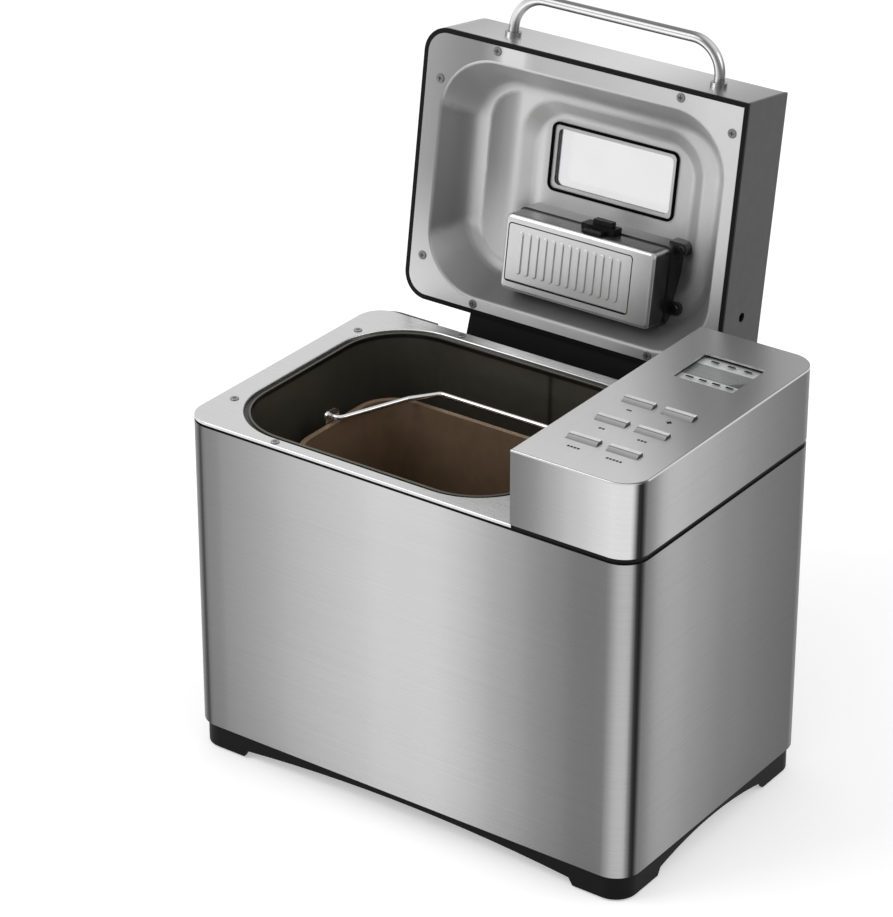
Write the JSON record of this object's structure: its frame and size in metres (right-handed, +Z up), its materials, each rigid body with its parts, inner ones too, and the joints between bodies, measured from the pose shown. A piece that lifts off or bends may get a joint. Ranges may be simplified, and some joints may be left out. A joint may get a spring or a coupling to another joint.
{
  "type": "bread machine",
  "caption": "Free-standing bread machine: brushed steel body with control tower, hinged lid with window and fruit dispenser, lift-out pan with bail and driven kneading paddle.",
  "frame": {"origin": "centre of the body's footprint on the worktop, at the underside of the foot pads", "axes": "+Z up, +X towards the control tower, -Y towards the front"},
  "size_m": [0.38, 0.3487, 0.5067],
  "materials": {
    "steel": "brushed",
    "liner_steel": "satin",
    "end_grey": "satin",
    "rear_steel": "satin",
    "base_black": "fine grain",
    "black": "satin",
    "rubber": "matte",
    "screw": "zinc",
    "oven": "dark satin enamel",
    "heater": "dark oxide",
    "plain_steel": "mill",
    "cast": "cast",
    "nylon": "moulded",
    "motor": "satin",
    "can": "drawn",
    "board": "solder mask",
    "key": "satin",
    "lcd": "film",
    "glass": "clear",
    "chrome": "polished",
    "coil": "lacquer",
    "nonstick": "non-stick"
  },
  "bodies": {
    "body": {"base": "base_black", "foot_pads": "rubber", "wrap": "steel", "rear_panel": "rear_steel", "cord_gland": "black", "top_frame": "black", "top_plate": "steel", "plate_screws": "screw", "chamber": "oven", "heater": "heater", "heater_clips": "plain_steel", "temp_probe": "plain_steel", "pan_seat": "cast", "shaft_bearing": "plain_steel", "drive_belt": "rubber", "chassis": "plain_steel", "motor": "motor", "capacitor": "can", "power_board": "board", "tower_shell": "steel", "tower_top": "steel", "lcd_bezel": "black", "lcd_lens": "glass", "lcd_panel": "lcd", "control_board": "board", "hinge_trough": "black", "hinge_pin": "plain_steel"},
    "lid": {"lid_shell": "steel", "lid_end": "end_grey", "lid_rim": "black", "lid_liner": "liner_steel", "lid_screws": "screw", "window_gasket": "rubber", "window_inner": "glass", "window_outer": "glass", "lid_handle": "chrome", "handle_collars": "chrome", "hinge_leaf": "black", "dispenser_cover": "steel", "dispenser_box": "black", "dispenser_screws": "screw", "solenoid": "coil"},
    "flap": {"dispenser_flap": "steel"},
    "latch": {"dispenser_latch": "black"},
    "pan": {"pan": "nonstick", "pan_base": "cast", "bail_lugs": "chrome"},
    "bail": {"bail": "chrome"},
    "paddle": {"pan_shaft": "plain_steel", "paddle": "nonstick"},
    "drive": {"drive_shaft": "plain_steel", "drive_coupler": "cast", "drive_pulley": "nylon"},
    "motor_rotor": {"motor_pulley": "cast"},
    "key_1": {"button_1": "key"},
    "key_2": {"button_2": "key"},
    "key_3": {"button_3": "key"},
    "key_4": {"button_4": "key"},
    "key_5": {"button_5": "key"},
    "key_6": {"button_6": "key"}
  },
  "joints": [
    {"name": "lid_hinge", "type": "hinge", "parent": "body", "child": "lid", "pos_m": [-0.04375, 0.1168, 0.247], "axis": [-1, 0, 0], "range_deg": [-98.6, 0]},
    {"name": "flap_hinge", "type": "hinge", "parent": "lid", "child": "flap", "pos_m": [-0.0465, 0.15286, 0.30152], "axis": [1, 0, 0], "range_deg": [0, 80]},
    {"name": "latch_slide", "type": "slide", "parent": "lid", "child": "latch", "axis": [0, 0.1495, 0.9888], "range_m": [0, 0.003], "stiffness_N_per_m": 400},
    {"name": "pan_lift", "type": "slide", "parent": "body", "child": "pan", "axis": [0, 0, 1], "range_m": [0, 0.2]},
    {"name": "bail_hinge", "type": "hinge", "parent": "pan", "child": "bail", "pos_m": [-0.0475, -0.0055, 0.2375], "axis": [1, 0, 0], "range_deg": [0, 176]},
    {"name": "drive_spin", "type": "hinge", "parent": "body", "child": "drive", "pos_m": [-0.0475, -0.0055, 0.036], "axis": [0, 0, 1], "continuous": true},
    {"name": "motor_spin", "type": "hinge", "parent": "body", "child": "motor_rotor", "pos_m": [0.134, -0.0055, 0.036], "axis": [0, 0, 1], "continuous": true},
    {"name": "paddle_spin", "type": "hinge", "parent": "pan", "child": "paddle", "pos_m": [-0.0475, -0.0055, 0.11], "axis": [0, 0, 1], "continuous": true},
    {"name": "key_1_press", "type": "slide", "parent": "body", "child": "key_1", "axis": [0, 0, -1], "range_m": [0, 0.0012], "stiffness_N_per_m": 600},
    {"name": "key_2_press", "type": "slide", "parent": "body", "child": "key_2", "axis": [0, 0, -1], "range_m": [0, 0.0012], "stiffness_N_per_m": 600},
    {"name": "key_3_press", "type": "slide", "parent": "body", "child": "key_3", "axis": [0, 0, -1], "range_m": [0, 0.0012], "stiffness_N_per_m": 600},
    {"name": "key_4_press", "type": "slide", "parent": "body", "child": "key_4", "axis": [0, 0, -1], "range_m": [0, 0.0012], "stiffness_N_per_m": 600},
    {"name": "key_5_press", "type": "slide", "parent": "body", "child": "key_5", "axis": [0, 0, -1], "range_m": [0, 0.0012], "stiffness_N_per_m": 600},
    {"name": "key_6_press", "type": "slide", "parent": "body", "child": "key_6", "axis": [0, 0, -1], "range_m": [0, 0.0012], "stiffness_N_per_m": 600}
  ],
  "couplings": [
    {"joint": "motor_spin", "follows": "drive_spin", "ratio": 4},
    {"joint": "paddle_spin", "follows": "drive_spin", "ratio": 1}
  ]
}
